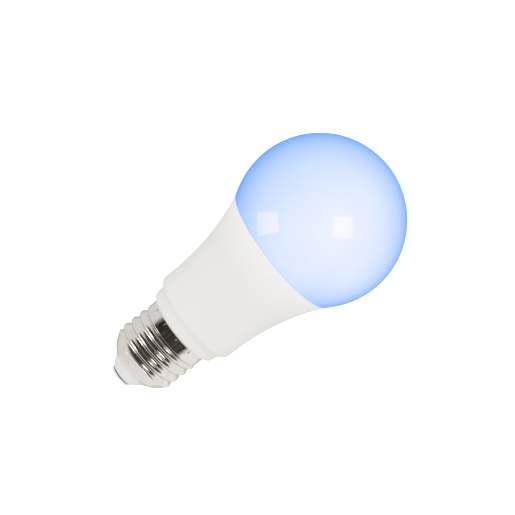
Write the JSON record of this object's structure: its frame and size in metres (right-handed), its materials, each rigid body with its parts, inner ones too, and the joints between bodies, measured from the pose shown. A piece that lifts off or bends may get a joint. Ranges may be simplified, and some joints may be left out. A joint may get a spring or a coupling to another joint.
{
  "type": "light bulb",
  "caption": "Connected colour light bulb with a milky round globe glowing blue, a flared white plastic housing with a collar, and a threaded metal screw cap.",
  "frame": {"origin": "centre of the flat face of the centre contact, the lowest point of the cap", "axes": "+Z along the lamp's axis from the contact to the top of the globe, -Y is the lamp's front, taken from the picture's view, +X to its right"},
  "size_m": [0.06, 0.06, 0.1189],
  "materials": {
    "cap_metal": "nickel-plated brass, satin bright",
    "contact_metal": "tinned brass, satin",
    "insulator_white": "smooth white moulding",
    "housing_white": "fine satin moulding",
    "globe_milk": "milky polycarbonate, lit blue from inside",
    "silicone": "cured translucent bead",
    "bare_aluminium": "pressed, satin",
    "can_aluminium": "drawn, bright",
    "pad_grey": "soft silicone pad",
    "board_white": "white solder mask on aluminium",
    "led_housing": "white reflector body",
    "phosphor": "yellow phosphor in silicone",
    "led_window_blue": "clear resin, lit blue",
    "screw_steel": "zinc plated",
    "header_black": "moulded",
    "pin_gold": "gold flashed",
    "socket_white": "moulded",
    "board_green": "green solder mask on glass epoxy",
    "board_black": "black solder mask on glass epoxy",
    "tin_plate": "tin plated",
    "chip_black": "moulded epoxy",
    "copper_track": "bare copper track",
    "wire_red": "red insulated wire",
    "wire_blue": "blue insulated wire",
    "resistor_coat": "cement coating",
    "tinned_lead": "tinned wire",
    "varistor_blue": "dipped epoxy",
    "film_yellow": "moulded box",
    "ferrite": "sintered ferrite",
    "enamelled_copper": "enamelled copper wire",
    "sleeve_black": "shrunk sleeve",
    "bobbin_black": "phenolic",
    "tape_yellow": "polyester tape",
    "chip_resistor_black": "glazed",
    "chip_capacitor_tan": "fired"
  },
  "bodies": {
    "root": {"screw_shell": "cap_metal", "centre_contact": "contact_metal", "contact_pin": "contact_metal", "cap_insulator": "insulator_white", "housing_shell": "housing_white", "diffuser_globe": "globe_milk", "diffuser_seal": "silicone", "heat_sink_cup": "bare_aluminium", "spreader_plate": "bare_aluminium", "input_capacitor_can": "can_aluminium", "output_capacitor_can": "can_aluminium", "thermal_pad": "pad_grey", "led_board": "board_white", "led_white": "led_housing", "led_colour": "led_housing", "led_white_phosphor": "phosphor", "led_colour_window": "led_window_blue", "led_board_screws": "screw_steel", "led_header_block": "header_black", "radio_spacer": "header_black", "led_header_pins": "pin_gold", "radio_pins": "pin_gold", "led_socket": "socket_white", "driver_board": "board_green", "radio_board": "board_black", "shield_can": "tin_plate", "radio_chip": "chip_black", "bridge_rectifier": "chip_black", "driver_chips": "chip_black", "antenna_trace": "copper_track", "live_wire": "wire_red", "neutral_wire": "wire_blue", "fusible_resistor": "resistor_coat", "fusible_resistor_leads": "tinned_lead", "varistor_leads": "tinned_lead", "film_capacitor_leads": "tinned_lead", "choke_leads": "tinned_lead", "capacitor_leads": "tinned_lead", "chip_lead_frames": "tinned_lead", "varistor": "varistor_blue", "film_capacitor": "film_yellow", "choke_core": "ferrite", "transformer_core": "ferrite", "choke_winding": "enamelled_copper", "input_capacitor_sleeve": "sleeve_black", "output_capacitor_sleeve": "sleeve_black", "transformer_bobbin": "bobbin_black", "transformer_winding": "tape_yellow", "chip_resistors": "chip_resistor_black", "chip_capacitors": "chip_capacitor_tan"}
  },
  "joints": []
}
